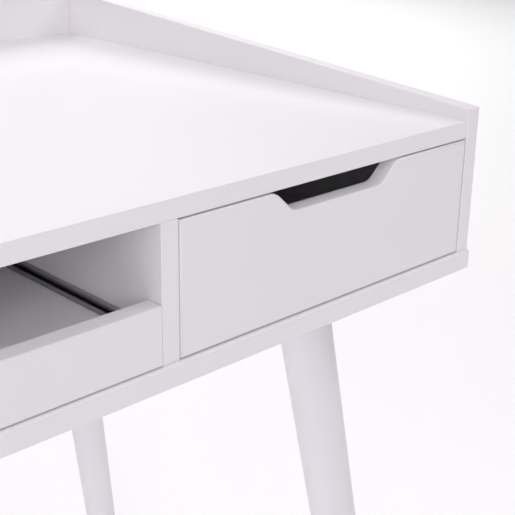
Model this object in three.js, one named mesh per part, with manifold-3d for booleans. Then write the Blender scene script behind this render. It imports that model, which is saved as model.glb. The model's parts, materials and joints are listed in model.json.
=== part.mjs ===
// Writing desk with two drawers and a pull-out keyboard tray between them.
// Millimetres, +Z up. The origin is on the floor under the middle of the desk.
// The front faces -Y, and +X is to the right of somebody who sits at the desk.

import * as THREE from 'three';
import { mergeVertices } from 'three/addons/utils/BufferGeometryUtils.js';
import Module from 'manifold-3d';

const wasm = await Module();
wasm.setup();

// ---------------------------------------------------------------- driving dimensions

// Case
const WIDTH = 1200;
const WORKTOP_HEIGHT = 750;
const BOARD = 15;
const CASE_DEPTH = 603;
const BASE_BOARD = 18; // the bottom panel is thicker than the others
const BASE_PROUD = 3; // how far the bottom panel stands out in front of the side panels
const BASE_EDGE_RADIUS = 2.5;
const OPENING_HEIGHT = 104.5; // between the bottom panel and the worktop
const DRAWER_OPENING = 321;
const WORKTOP_SETBACK = 1;
const DIVIDER_SETBACK = 0.5;
const GALLERY_FRONT = 10.5; // how far the side panels stand above the worktop at the front
const GALLERY_REAR = 52;

// Legs
const LEG_TOP_X = 486.66;
const LEG_TOP_Y = 198.24; // from the middle of the side panels' depth
const LEG_SPLAY_X = 0.154; // outward travel for each millimetre of height
const LEG_SPLAY_Y = 0.08;
const LEG_TOP_RADIUS = 25.5;
const LEG_TAPER = 0.0117; // radius lost for each millimetre of length
const LEG_EDGE_RADIUS = 2.5;
const LEG_HEAD_DROP = 12; // along the leg, from the bottom panel to the leg's top face
const PLATE_SIZE = 78;
const PLATE_CORNER = 8;
const PLATE_THICKNESS = 3;
const BOSS_RADIUS = 19;
const BOLT_RADIUS = 4;
const BOLT_START = 5;
const BOLT_LENGTH = 42;
const GLIDE_RADIUS = 13.5;
const GLIDE_HEIGHT = 4;

// Drawer fronts and boxes
const FRONT_GAP = 1; // beside and below a front
const FRONT_TOP_GAP = 1.5; // between a drawer front and the worktop
const FRONT_EDGE_RADIUS = 2;
const CUTOUT_DEPTH = 17.5;
const CUTOUT_FLOOR_HALF = 49.5;
const CUTOUT_MOUTH_HALF = 68.5;
const CUTOUT_FILLET = 14;
const BOX_BOARD = 12;
const BOX_LENGTH = 400;
const BOX_HEIGHT = 75;
const BOX_LIFT = 7.5; // the box sides' lower edge above the bottom panel
const BOX_FLOOR = 3;
const BOX_FLOOR_LIFT = 6;
const GROOVE_DEPTH = 5;
const GROOVE_PLAY = 0.25;
const FLOOR_PLAY = 0.5;

// Keyboard tray
const TRAY_FRONT_HEIGHT = 45;
const TRAY_FRONT_SIDE_GAP = 0.6;
const TRAY_FRONT_EDGE_RADIUS = 1;
const TRAY_BOARD_LIFT = 8; // the board's underside above the bottom panel

// Ball-bearing slides
const SLIDE_LENGTH = 400;
const SLIDE_HEIGHT = 27;
const SLIDE_THICKNESS = 10; // from the case wall to the moving board
const STEEL = 1;
const SLIDE_SETBACK = 1; // from the moving front's back face
const SLIDE_TRAVEL = 300;
const CAGE_WALL = 1;
const CAGE_PLAY = 2; // at each end of its travel
const TRAY_SLIDE_LIFT = 15.5; // the slide's centre line above the bottom panel
const DRAWER_SLIDE_LIFT = 39.5;

// Case screws
const SCREW_LENGTH = 50;
const SCREW_RADIUS = 3.4;
const SCREW_HEAD_RADIUS = 4.8;
const SCREW_HEAD_HEIGHT = 4;
const SCREW_PLAY = 0.4;
const SCREW_Y = 240;

const CLEARANCE = 0.3; // where a piece meets a tilted neighbour
const ROUND = 32; // sides of a turned or drilled circle
const SCREW_ROUND = 16;

// ---------------------------------------------------------------- worked-out places

const SIDE_IN = WIDTH / 2 - BOARD;
const SIDE_FRONT = -(CASE_DEPTH + BASE_PROUD) / 2 + BASE_PROUD;
const REAR = SIDE_FRONT + CASE_DEPTH;
const BACK_FACE = REAR - BOARD;
const CASE_MIDDLE = (SIDE_FRONT + REAR) / 2;
const WORKTOP_UNDER = WORKTOP_HEIGHT - BOARD;
const BASE_TOP = WORKTOP_UNDER - OPENING_HEIGHT;
const BASE_UNDER = BASE_TOP - BASE_BOARD;
const DIVIDER_OUT = SIDE_IN - DRAWER_OPENING;
const DIVIDER_IN = DIVIDER_OUT - BOARD;
const FRONT_BACK = SIDE_FRONT + BOARD; // back face of the drawer fronts and the tray front
const SLIDE_FRONT = FRONT_BACK + SLIDE_SETBACK;
const BOX_BASE = BASE_TOP + BOX_LIFT;
const BOX_REAR = FRONT_BACK + BOX_LENGTH;
const SIDES = [
  ['left', -1],
  ['right', 1],
];
const ENDS = [
  ['front', -1],
  ['rear', 1],
];

// ---------------------------------------------------------------- finishes

const FINISHES = {
  whiteFoil: { color: 0xefedf1, roughness: 0.45, metalness: 0 },
  whiteLacquer: { color: 0xeceaf0, roughness: 0.38, metalness: 0 },
  whiteHardboard: { color: 0xe4e2e4, roughness: 0.6, metalness: 0 },
  zincSteel: { color: 0x9a9a9e, roughness: 0.4, metalness: 1 },
  blackSteel: { color: 0x2b2b2e, roughness: 0.45, metalness: 0.6 },
  blackNylon: { color: 0x1c1c1e, roughness: 0.55, metalness: 0 },
  glidePlastic: { color: 0xd8d8da, roughness: 0.5, metalness: 0 },
};

const desk = new THREE.Group();

function addPiece(name, geometry, finish) {
  const mesh = new THREE.Mesh(geometry, new THREE.MeshStandardMaterial(FINISHES[finish]));
  mesh.name = name;
  desk.add(mesh);
  return mesh;
}

// ---------------------------------------------------------------- solids and booleans

function weld(geometry) {
  const bare = geometry.index ? geometry.toNonIndexed() : geometry.clone();
  bare.deleteAttribute('normal');
  bare.deleteAttribute('uv');
  return mergeVertices(bare, 1e-4);
}

function solid(geometry) {
  const welded = weld(geometry);
  return new wasm.Manifold(
    new wasm.Mesh({
      numProp: 3,
      vertProperties: new Float32Array(welded.attributes.position.array),
      triVerts: new Uint32Array(welded.index.array),
    }),
  );
}

function surface(body) {
  const mesh = body.getMesh();
  const geometry = new THREE.BufferGeometry();
  geometry.setAttribute('position', new THREE.BufferAttribute(mesh.vertProperties, 3));
  geometry.setIndex(new THREE.BufferAttribute(mesh.triVerts, 1));
  geometry.computeVertexNormals();
  return geometry;
}

function cut(geometry, tools) {
  let body = solid(geometry);
  for (const tool of tools) {
    body = body.subtract(solid(tool));
  }
  return surface(body);
}

// A box from its lowest to its highest corner.
function block(low, high) {
  const geometry = new THREE.BoxGeometry(high[0] - low[0], high[1] - low[1], high[2] - low[2]);
  geometry.translate((low[0] + high[0]) / 2, (low[1] + high[1]) / 2, (low[2] + high[2]) / 2);
  return geometry;
}

// An outline in (Y, Z) run along X from x0 to x1.
function runAlongX(shape, x0, x1) {
  const geometry = new THREE.ExtrudeGeometry(shape, { depth: x1 - x0, bevelEnabled: false, curveSegments: 6 });
  const basis = new THREE.Matrix4().makeBasis(
    new THREE.Vector3(0, 1, 0),
    new THREE.Vector3(0, 0, 1),
    new THREE.Vector3(1, 0, 0),
  );
  geometry.applyMatrix4(basis);
  geometry.translate(x0, 0, 0);
  return geometry;
}

// An outline in (X, Z) run along Y from y0 to y1, with its two end edges rounded by radius.
function runAlongY(shape, y0, y1, radius = 0) {
  const geometry = new THREE.ExtrudeGeometry(shape, {
    depth: y1 - y0 - 2 * radius,
    bevelEnabled: radius > 0,
    bevelThickness: radius,
    bevelSize: radius,
    bevelOffset: -radius,
    bevelSegments: 3,
    curveSegments: 6,
  });
  const basis = new THREE.Matrix4().makeBasis(
    new THREE.Vector3(1, 0, 0),
    new THREE.Vector3(0, 0, 1),
    new THREE.Vector3(0, -1, 0),
  );
  geometry.applyMatrix4(basis);
  geometry.translate(0, y1 - radius, 0);
  return geometry;
}

function outline(points) {
  return new THREE.Shape(points.map(([u, v]) => new THREE.Vector2(u, v)));
}

// An outline whose corners are rounded: each corner is [u, v, radius].
function roundedOutline(corners) {
  const shape = new THREE.Shape();
  const count = corners.length;
  for (let i = 0; i < count; i += 1) {
    const corner = new THREE.Vector2(corners[i][0], corners[i][1]);
    const radius = corners[i][2];
    const before = new THREE.Vector2(...corners[(i + count - 1) % count].slice(0, 2)).sub(corner).normalize();
    const after = new THREE.Vector2(...corners[(i + 1) % count].slice(0, 2)).sub(corner).normalize();
    const halfAngle = Math.acos(before.dot(after)) / 2;
    const reach = radius / Math.tan(halfAngle);
    const start = corner.clone().addScaledVector(before, reach);
    const end = corner.clone().addScaledVector(after, reach);
    if (i === 0) {
      shape.moveTo(start.x, start.y);
    } else {
      shape.lineTo(start.x, start.y);
    }
    if (radius > 0) {
      shape.quadraticCurveTo(corner.x, corner.y, end.x, end.y);
    }
  }
  shape.closePath();
  return shape;
}

// The outline of a strip of sheet steel bent along a path of right angles.
function bentStrip(path, thickness) {
  const half = thickness / 2;
  const near = [];
  const far = [];
  path.forEach((point, i) => {
    const here = new THREE.Vector2(...point);
    const normals = [];
    if (i > 0) {
      const along = here.clone().sub(new THREE.Vector2(...path[i - 1])).normalize();
      normals.push(new THREE.Vector2(-along.y, along.x));
    }
    if (i < path.length - 1) {
      const along = new THREE.Vector2(...path[i + 1]).sub(here).normalize();
      normals.push(new THREE.Vector2(-along.y, along.x));
    }
    const offset = normals.reduce((sum, normal) => sum.add(normal), new THREE.Vector2());
    near.push([here.x + offset.x * half, here.y + offset.y * half]);
    far.push([here.x - offset.x * half, here.y - offset.y * half]);
  });
  return [...near, ...far.reverse()];
}

// A round bar on +Z from z0 to z1.
function bar(radius, z0, z1) {
  const geometry = new THREE.CylinderGeometry(radius, radius, z1 - z0, ROUND);
  geometry.rotateX(Math.PI / 2);
  geometry.translate(0, 0, (z0 + z1) / 2);
  return geometry;
}

// ---------------------------------------------------------------- case screws

// The screws stand upright through the bottom panel, with their heads sunk in its underside.
function screwPlaces() {
  const places = [];
  for (const [sideName, side] of SIDES) {
    for (const [endName, end] of ENDS) {
      const y = CASE_MIDDLE + end * SCREW_Y;
      places.push({ name: `side_screw_${sideName}_${endName}`, x: side * (SIDE_IN + BOARD / 2), y });
    }
  }
  return places;
}

function screwBody(x, y, play) {
  const top = BASE_UNDER + SCREW_LENGTH + play;
  const neck = BASE_UNDER + SCREW_HEAD_HEIGHT + play;
  const profile = [
    [0, BASE_UNDER - (play > 0 ? 1 : 0)],
    [SCREW_HEAD_RADIUS + play, BASE_UNDER - (play > 0 ? 1 : 0)],
    [SCREW_HEAD_RADIUS + play, neck - 1.4],
    [SCREW_RADIUS + play, neck],
    [SCREW_RADIUS + play, top - 3],
    [0, top],
  ];
  const geometry = new THREE.LatheGeometry(profile.map(([r, z]) => new THREE.Vector2(r, z)), SCREW_ROUND);
  geometry.rotateX(Math.PI / 2);
  geometry.translate(x, y, 0);
  return geometry;
}

const SCREWS = screwPlaces();

function screwHoles(screws) {
  return screws.map((screw) => screwBody(screw.x, screw.y, SCREW_PLAY));
}

// ---------------------------------------------------------------- case panels

function basePanel() {
  const low = [SIDE_FRONT - BASE_PROUD, BASE_UNDER];
  const high = [REAR, BASE_TOP];
  const section = roundedOutline([
    [low[0], low[1], BASE_EDGE_RADIUS],
    [high[0], low[1], 0],
    [high[0], high[1], 0],
    [low[0], high[1], BASE_EDGE_RADIUS],
  ]);
  const plank = runAlongX(section, -WIDTH / 2, WIDTH / 2);
  return cut(plank, screwHoles(SCREWS));
}

// A side panel's top edge climbs in a straight line from front to back.
function sidePanel(side) {
  const section = outline([
    [SIDE_FRONT, BASE_TOP],
    [REAR, BASE_TOP],
    [REAR, WORKTOP_HEIGHT + GALLERY_REAR],
    [SIDE_FRONT, WORKTOP_HEIGHT + GALLERY_FRONT],
  ]);
  const x = side * SIDE_IN;
  const plank = runAlongX(section, Math.min(x, x + side * BOARD), Math.max(x, x + side * BOARD));
  return cut(plank, screwHoles(SCREWS.filter((screw) => screw.x * side > 0)));
}

function divider(side) {
  const edges = [side * DIVIDER_IN, side * DIVIDER_OUT].sort((a, b) => a - b);
  return block(
    [edges[0], SIDE_FRONT + DIVIDER_SETBACK, BASE_TOP],
    [edges[1], BACK_FACE, WORKTOP_UNDER],
  );
}

addPiece('bottom_panel', basePanel(), 'whiteFoil');
addPiece(
  'worktop',
  block([-SIDE_IN, SIDE_FRONT + WORKTOP_SETBACK, WORKTOP_UNDER], [SIDE_IN, BACK_FACE, WORKTOP_HEIGHT]),
  'whiteFoil',
);
addPiece(
  'back_panel',
  block([-SIDE_IN, BACK_FACE, BASE_TOP], [SIDE_IN, REAR, WORKTOP_HEIGHT + GALLERY_REAR]),
  'whiteFoil',
);
for (const [sideName, side] of SIDES) {
  addPiece(`side_panel_${sideName}`, sidePanel(side), 'whiteFoil');
  addPiece(`divider_${sideName}`, divider(side), 'whiteFoil');
}
for (const screw of SCREWS) {
  addPiece(screw.name, screwBody(screw.x, screw.y, 0), 'zincSteel');
}

// ---------------------------------------------------------------- legs

// Turns a leg's own axis, which runs down from its head, to its splay and moves it to its place.
function legFrame(side, end) {
  const down = new THREE.Vector3(side * LEG_SPLAY_X, end * LEG_SPLAY_Y, -1).normalize();
  const turn = new THREE.Quaternion().setFromUnitVectors(new THREE.Vector3(0, 0, -1), down);
  const head = new THREE.Vector3(side * LEG_TOP_X, CASE_MIDDLE + end * LEG_TOP_Y, BASE_UNDER);
  return new THREE.Matrix4().compose(head, turn, new THREE.Vector3(1, 1, 1));
}

function legLength() {
  return BASE_UNDER * Math.hypot(LEG_SPLAY_X, LEG_SPLAY_Y, 1);
}

function turnedLeg(side, end) {
  const overrun = 20; // cut off level at the foot
  const tip = legLength() + overrun;
  const radiusAt = (drop) => LEG_TOP_RADIUS - LEG_TAPER * drop;
  const profile = [[0, -tip], [radiusAt(tip), -tip]];
  const steps = 5;
  for (let i = steps; i >= 0; i -= 1) {
    const angle = (Math.PI / 2) * (i / steps);
    const drop = LEG_HEAD_DROP + LEG_EDGE_RADIUS * (1 - Math.cos(angle));
    profile.push([radiusAt(drop) - LEG_EDGE_RADIUS * (1 - Math.sin(angle)), -drop]);
  }
  profile.push([0, -LEG_HEAD_DROP]);
  const geometry = new THREE.LatheGeometry(profile.map(([r, z]) => new THREE.Vector2(r, z)), ROUND);
  geometry.rotateX(Math.PI / 2);
  const drilled = cut(geometry, [
    bar(BOLT_RADIUS + CLEARANCE, -(BOLT_START + BOLT_LENGTH + 2), -(LEG_HEAD_DROP - 1)),
  ]);
  drilled.applyMatrix4(legFrame(side, end));
  const reach = WIDTH;
  const floor = block([-reach, -reach, -reach], [reach, reach, GLIDE_HEIGHT + CLEARANCE]);
  return cut(drilled, [floor]);
}

// A flat plate under the bottom panel, with a tilted boss that carries the leg's bolt.
function legPlate(side, end) {
  const centre = [side * LEG_TOP_X, CASE_MIDDLE + end * LEG_TOP_Y];
  const half = PLATE_SIZE / 2;
  const square = roundedOutline([
    [-half, -half, PLATE_CORNER],
    [half, -half, PLATE_CORNER],
    [half, half, PLATE_CORNER],
    [-half, half, PLATE_CORNER],
  ]);
  const plate = new THREE.ExtrudeGeometry(square, { depth: PLATE_THICKNESS, bevelEnabled: false, curveSegments: 5 });
  plate.translate(centre[0], centre[1], BASE_UNDER - PLATE_THICKNESS);
  const boss = bar(BOSS_RADIUS, -(LEG_HEAD_DROP - CLEARANCE), 8);
  boss.applyMatrix4(legFrame(side, end));
  const above = block(
    [centre[0] - PLATE_SIZE, centre[1] - PLATE_SIZE, BASE_UNDER],
    [centre[0] + PLATE_SIZE, centre[1] + PLATE_SIZE, BASE_UNDER + 3 * PLATE_SIZE],
  );
  const bore = bar(BOLT_RADIUS + CLEARANCE, -2 * LEG_HEAD_DROP, -(BOLT_START - CLEARANCE));
  bore.applyMatrix4(legFrame(side, end));
  const joined = solid(plate).add(solid(boss)).subtract(solid(above)).subtract(solid(bore));
  return surface(joined);
}

function hangerBolt(side, end) {
  const bolt = bar(BOLT_RADIUS, -(BOLT_START + BOLT_LENGTH), -BOLT_START);
  bolt.applyMatrix4(legFrame(side, end));
  return bolt;
}

function footGlide(side, end) {
  const foot = new THREE.Vector3(0, 0, -legLength()).applyMatrix4(legFrame(side, end));
  const profile = [
    [0, 0],
    [GLIDE_RADIUS - 1, 0],
    [GLIDE_RADIUS, 1],
    [GLIDE_RADIUS, GLIDE_HEIGHT],
    [0, GLIDE_HEIGHT],
  ];
  const geometry = new THREE.LatheGeometry(profile.map(([r, z]) => new THREE.Vector2(r, z)), ROUND);
  geometry.rotateX(Math.PI / 2);
  geometry.translate(foot.x, foot.y, 0);
  return geometry;
}

for (const [sideName, side] of SIDES) {
  for (const [endName, end] of ENDS) {
    const place = `${endName}_${sideName}`;
    addPiece(`leg_${place}`, turnedLeg(side, end), 'whiteLacquer');
    addPiece(`leg_plate_${place}`, legPlate(side, end), 'blackSteel');
    addPiece(`leg_bolt_${place}`, hangerBolt(side, end), 'zincSteel');
    addPiece(`foot_glide_${place}`, footGlide(side, end), 'glidePlastic');
  }
}

// ---------------------------------------------------------------- ball-bearing slides

// Sections are [distance from the case wall, height from the slide's centre line].
const FLANGE = (SLIDE_HEIGHT - STEEL) / 2;
const LIP_PLANE = 5.2;
const LIP_END = 11;
const WEB_BACK = SLIDE_THICKNESS - STEEL;
const WEB_HALF = 10.8;
const RAIL_START = 3; // the two rails of the inner member, which the balls run on
const RAIL_OUTER = 7.6;
const RAIL_INNER = 6.6;
const CAGE_RUN = 10;
const CAGE_BACK = 2;
const CAGE_REACH = 8;

const OUTER_SECTION = bentStrip(
  [
    [LIP_PLANE, LIP_END],
    [LIP_PLANE, FLANGE],
    [STEEL / 2, FLANGE],
    [STEEL / 2, -FLANGE],
    [LIP_PLANE, -FLANGE],
    [LIP_PLANE, -LIP_END],
  ],
  STEEL,
);
const CAGE_SECTION = bentStrip(
  [
    [CAGE_REACH, CAGE_RUN],
    [CAGE_BACK, CAGE_RUN],
    [CAGE_BACK, -CAGE_RUN],
    [CAGE_REACH, -CAGE_RUN],
  ],
  CAGE_WALL,
);
const INNER_SECTION = [
  [RAIL_START, RAIL_OUTER],
  [WEB_BACK, RAIL_OUTER],
  [WEB_BACK, WEB_HALF],
  [SLIDE_THICKNESS, WEB_HALF],
  [SLIDE_THICKNESS, -WEB_HALF],
  [WEB_BACK, -WEB_HALF],
  [WEB_BACK, -RAIL_OUTER],
  [RAIL_START, -RAIL_OUTER],
  [RAIL_START, -RAIL_INNER],
  [WEB_BACK, -RAIL_INNER],
  [WEB_BACK, RAIL_INNER],
  [RAIL_START, RAIL_INNER],
];

// One slide on the wall at wallX, which faces along facing (+1 or -1 in X): a member on the case,
// a member on the moving board, and the ball cage that rolls between them at half the travel.
function slide(name, wallX, facing, centreZ) {
  const end = SLIDE_FRONT + SLIDE_LENGTH;
  const cageMargin = SLIDE_TRAVEL / 2 + CAGE_PLAY;
  const member = (section, y0, y1) =>
    runAlongY(outline(section.map(([away, up]) => [wallX + facing * away, centreZ + up])), y0, y1);
  addPiece(`${name}_outer`, member(OUTER_SECTION, SLIDE_FRONT, end), 'zincSteel');
  addPiece(`${name}_inner`, member(INNER_SECTION, SLIDE_FRONT, end), 'zincSteel');
  addPiece(`${name}_cage`, member(CAGE_SECTION, SLIDE_FRONT + cageMargin, end - cageMargin), 'blackNylon');
}

// ---------------------------------------------------------------- keyboard tray

const TRAY_FRONT_HALF = DIVIDER_IN - TRAY_FRONT_SIDE_GAP;
const TRAY_HALF = DIVIDER_IN - SLIDE_THICKNESS;
const TRAY_UNDER = BASE_TOP + TRAY_BOARD_LIFT;

const TRAY_FRONT_LOW = BASE_TOP + FRONT_GAP;
const TRAY_FRONT_TOP = TRAY_FRONT_LOW + TRAY_FRONT_HEIGHT;

// The tray front is rounded along its length only; its two ends are cut square.
addPiece(
  'tray_front',
  runAlongX(
    roundedOutline([
      [SIDE_FRONT, TRAY_FRONT_LOW, TRAY_FRONT_EDGE_RADIUS],
      [FRONT_BACK, TRAY_FRONT_LOW, 0],
      [FRONT_BACK, TRAY_FRONT_TOP, 0],
      [SIDE_FRONT, TRAY_FRONT_TOP, TRAY_FRONT_EDGE_RADIUS],
    ]),
    -TRAY_FRONT_HALF,
    TRAY_FRONT_HALF,
  ),
  'whiteFoil',
);
addPiece(
  'tray_board',
  block([-TRAY_HALF, FRONT_BACK, TRAY_UNDER], [TRAY_HALF, BOX_REAR, TRAY_UNDER + BOARD]),
  'whiteFoil',
);

for (const [sideName, side] of SIDES) {
  slide(`tray_slide_${sideName}`, side * DIVIDER_IN, -side, BASE_TOP + TRAY_SLIDE_LIFT);
}

// ---------------------------------------------------------------- drawers

// The front's outline, with the finger cut-out in the middle of its top edge.
function drawerFrontOutline(centreX) {
  const half = DRAWER_OPENING / 2 - FRONT_GAP;
  const top = WORKTOP_UNDER - FRONT_TOP_GAP;
  return roundedOutline([
    [centreX - half, BASE_TOP + FRONT_GAP, 0],
    [centreX + half, BASE_TOP + FRONT_GAP, 0],
    [centreX + half, top, 0],
    [centreX + CUTOUT_MOUTH_HALF, top, CUTOUT_FILLET],
    [centreX + CUTOUT_FLOOR_HALF, top - CUTOUT_DEPTH, CUTOUT_FILLET],
    [centreX - CUTOUT_FLOOR_HALF, top - CUTOUT_DEPTH, CUTOUT_FILLET],
    [centreX - CUTOUT_MOUTH_HALF, top, CUTOUT_FILLET],
    [centreX - half, top, 0],
  ]);
}

function drawer(sideName, side) {
  const centreX = side * (SIDE_IN - DRAWER_OPENING / 2);
  const boxHalf = DRAWER_OPENING / 2 - SLIDE_THICKNESS;
  const insideHalf = boxHalf - BOX_BOARD;
  const boxTop = BOX_BASE + BOX_HEIGHT;
  const floorLow = BOX_BASE + BOX_FLOOR_LIFT;
  const grooveHalf = insideHalf + GROOVE_DEPTH;
  const backFront = BOX_REAR - BOX_BOARD;
  // The groove that takes the thin floor runs round the inside of the box.
  const groove = block(
    [centreX - grooveHalf, FRONT_BACK - GROOVE_DEPTH, floorLow - GROOVE_PLAY],
    [centreX + grooveHalf, backFront + GROOVE_DEPTH, floorLow + BOX_FLOOR + GROOVE_PLAY],
  );
  const front = runAlongY(drawerFrontOutline(centreX), SIDE_FRONT, FRONT_BACK, FRONT_EDGE_RADIUS);
  addPiece(`drawer_${sideName}_front`, cut(front, [groove]), 'whiteFoil');
  for (const [wallName, wall] of SIDES) {
    const edges = [centreX + wall * insideHalf, centreX + wall * boxHalf].sort((a, b) => a - b);
    const plank = block([edges[0], FRONT_BACK, BOX_BASE], [edges[1], BOX_REAR, boxTop]);
    addPiece(`drawer_${sideName}_box_${wallName}`, cut(plank, [groove]), 'whiteFoil');
    const caseWall = centreX + (wall * DRAWER_OPENING) / 2;
    slide(`drawer_${sideName}_slide_${wallName}`, caseWall, -wall, BASE_TOP + DRAWER_SLIDE_LIFT);
  }
  const back = block([centreX - insideHalf, backFront, BOX_BASE], [centreX + insideHalf, BOX_REAR, boxTop]);
  addPiece(`drawer_${sideName}_box_back`, cut(back, [groove]), 'whiteFoil');
  addPiece(
    `drawer_${sideName}_floor`,
    block(
      [centreX - grooveHalf + FLOOR_PLAY, FRONT_BACK - GROOVE_DEPTH + FLOOR_PLAY, floorLow],
      [centreX + grooveHalf - FLOOR_PLAY, backFront + GROOVE_DEPTH - FLOOR_PLAY, floorLow + BOX_FLOOR],
    ),
    'whiteHardboard',
  );
}

for (const [sideName, side] of SIDES) {
  drawer(sideName, side);
}

export default desk;
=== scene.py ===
"""Looks of a white writing desk with two drawers and a pull-out keyboard tray.

Metres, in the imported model's frame: +Z up, the front faces -Y, and +X is to the right of somebody who
sits at the desk. Every place comes from the frame's nodes; the values named here are edge roundings,
fittings and finishes.
"""

import json
import logging
import math
from collections.abc import Callable, Iterable, Sequence
from dataclasses import dataclass
from enum import Enum

import bmesh
import bpy
from mathutils import Matrix, Vector

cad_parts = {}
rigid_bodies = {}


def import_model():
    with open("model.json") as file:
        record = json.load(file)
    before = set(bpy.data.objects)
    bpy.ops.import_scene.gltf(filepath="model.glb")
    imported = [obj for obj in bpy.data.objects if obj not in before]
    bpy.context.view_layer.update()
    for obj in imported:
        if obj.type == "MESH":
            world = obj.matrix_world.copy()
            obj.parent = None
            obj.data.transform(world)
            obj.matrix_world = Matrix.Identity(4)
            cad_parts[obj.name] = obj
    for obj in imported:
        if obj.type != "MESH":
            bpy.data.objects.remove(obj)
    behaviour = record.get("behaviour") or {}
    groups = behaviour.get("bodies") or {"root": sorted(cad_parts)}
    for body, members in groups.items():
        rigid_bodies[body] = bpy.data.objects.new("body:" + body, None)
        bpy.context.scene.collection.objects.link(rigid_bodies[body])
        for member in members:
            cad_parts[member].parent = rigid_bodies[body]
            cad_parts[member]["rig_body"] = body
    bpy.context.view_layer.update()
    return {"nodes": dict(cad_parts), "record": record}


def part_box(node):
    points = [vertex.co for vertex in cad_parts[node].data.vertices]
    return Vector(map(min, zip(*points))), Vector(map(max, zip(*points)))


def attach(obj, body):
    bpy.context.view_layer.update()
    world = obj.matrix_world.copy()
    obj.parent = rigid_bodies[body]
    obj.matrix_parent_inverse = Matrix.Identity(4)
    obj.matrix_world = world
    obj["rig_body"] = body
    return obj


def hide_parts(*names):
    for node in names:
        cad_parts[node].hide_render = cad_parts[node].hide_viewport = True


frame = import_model()

LOG = logging.getLogger("desk")
MM = 0.001
SIDES = ("left", "right")
ENDS = ("front", "rear")
SHARP_ANGLE = math.radians(50)  # edges turned further than this stay crisp
LEVEL_SLACK = 0.01 * MM  # how far off a level an edge may lie
WELD = 0.005 * MM  # points closer than this become one
EASE_STEPS = 3  # strips of a board's eased edge
NOSE_STEPS = 7  # strips of a larger rounding
CORNER_STEPS = 10  # chords of a drawn corner
CLOUD_SPAN = (0.3, 0.7)  # the noise values between which clouding runs
RECESS_REACH = 1.1  # a cross recess's length, as a share of the head's radius
RECESS_WIDTH = 0.26  # its width, as a share of the head's radius
SLOT_OF = {row["node"]: row["material_slot"] for row in frame["record"]["subparts"]}

Point = tuple[float, float]
Triple = tuple[float, float, float]
Spots = list[tuple[Vector, Vector]]  # for each copy its place and the direction that it faces
Shape = bmesh.types.BMesh
Socket = bpy.types.NodeSocket


# ---------------------------------------------------------------- nodes of shader and geometry trees


def add_node(
    tree: bpy.types.NodeTree,
    kind: str,
    settings: dict[str, object] | None = None,
    inputs: dict[str | int, object] | None = None,
) -> bpy.types.Node:
    """Adds one node with its settings, and fills or links its inputs.

    Args:
        tree: The shader or geometry tree.
        kind: The node's type name.
        settings: The node's own properties.
        inputs: For each input, by name or place, a value or the output socket that feeds it.

    Returns:
        The new node.
    """
    node = tree.nodes.new(kind)
    for name, value in (settings or {}).items():
        setattr(node, name, value)
    for name, value in (inputs or {}).items():
        if isinstance(value, Socket):
            tree.links.new(value, node.inputs[name])
        else:
            node.inputs[name].default_value = value
    return node


def colour(hexadecimal: str) -> tuple[float, float, float, float]:
    """Turns an sRGB hex colour such as EFEDF1 to linear red, green, blue and alpha."""
    channels = [int(hexadecimal[i : i + 2], 16) / 255 for i in (0, 2, 4)]
    linear = [c / 12.92 if c <= 0.04045 else ((c + 0.055) / 1.055) ** 2.4 for c in channels]
    return (*linear, 1.0)


# ---------------------------------------------------------------- finishes


@dataclass(frozen=True)
class Surface:
    """A finish whose colour, gloss and height vary the way its making leaves them.

    Attributes:
        name: The real material and process.
        tone: Its main colour, sRGB hex.
        second_tone: The colour of its slight clouding.
        roughness: Its middle roughness.
        roughness_spread: How far the roughness wanders each way.
        cloud: Size of the clouding, in metres.
        grain: Size of the fine relief, in metres.
        relief: Height of the fine relief, in metres.
        stretch: How the relief is scaled along X, Y and Z; below 1 draws it out.
        metallic: 1 for bare or plated metal.
        ior: Refractive index of a non-metal.
    """

    name: str
    tone: str
    second_tone: str
    roughness: float
    roughness_spread: float
    cloud: float
    grain: float
    relief: float
    stretch: Triple = (1.0, 1.0, 1.0)
    metallic: float = 0.0
    ior: float = 1.5

    @staticmethod
    def _noise(
        tree: bpy.types.NodeTree, place: Socket, size: float, detail: float, roughness: float
    ) -> Socket:
        """Adds a noise whose features measure size metres."""
        wanted = {"Vector": place, "Scale": 1 / size, "Detail": detail, "Roughness": roughness}
        return add_node(tree, "ShaderNodeTexNoise", inputs=wanted).outputs["Fac"]

    def material(self) -> bpy.types.Material:
        """Builds the node material."""
        made = bpy.data.materials.new(self.name)
        made.use_nodes = True
        tree = made.node_tree
        tree.nodes.clear()
        place = add_node(tree, "ShaderNodeTexCoord").outputs["Object"]
        drawn = add_node(tree, "ShaderNodeMapping", inputs={"Vector": place, "Scale": self.stretch})
        clouding = self._noise(tree, place, self.cloud, 3.0, 0.5)
        fine = self._noise(tree, drawn.outputs["Vector"], self.grain, 2.0, 0.55)
        tones = add_node(tree, "ShaderNodeValToRGB", inputs={"Fac": clouding})
        stops = zip(tones.color_ramp.elements, CLOUD_SPAN, (self.second_tone, self.tone), strict=True)
        for stop, position, tone in stops:
            stop.position = position
            stop.color = colour(tone)
        gloss = add_node(
            tree,
            "ShaderNodeMapRange",
            inputs={
                "Value": clouding,
                "From Min": CLOUD_SPAN[0],
                "From Max": CLOUD_SPAN[1],
                "To Min": self.roughness - self.roughness_spread,
                "To Max": self.roughness + self.roughness_spread,
            },
        )
        bump = add_node(
            tree, "ShaderNodeBump", inputs={"Strength": 1.0, "Distance": self.relief, "Height": fine}
        )
        shader = add_node(
            tree,
            "ShaderNodeBsdfPrincipled",
            inputs={
                "Base Color": tones.outputs["Color"],
                "Roughness": gloss.outputs["Result"],
                "Normal": bump.outputs["Normal"],
                "Metallic": self.metallic,
                "IOR": self.ior,
            },
        )
        add_node(tree, "ShaderNodeOutputMaterial", inputs={"Surface": shader.outputs["BSDF"]})
        return made


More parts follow.
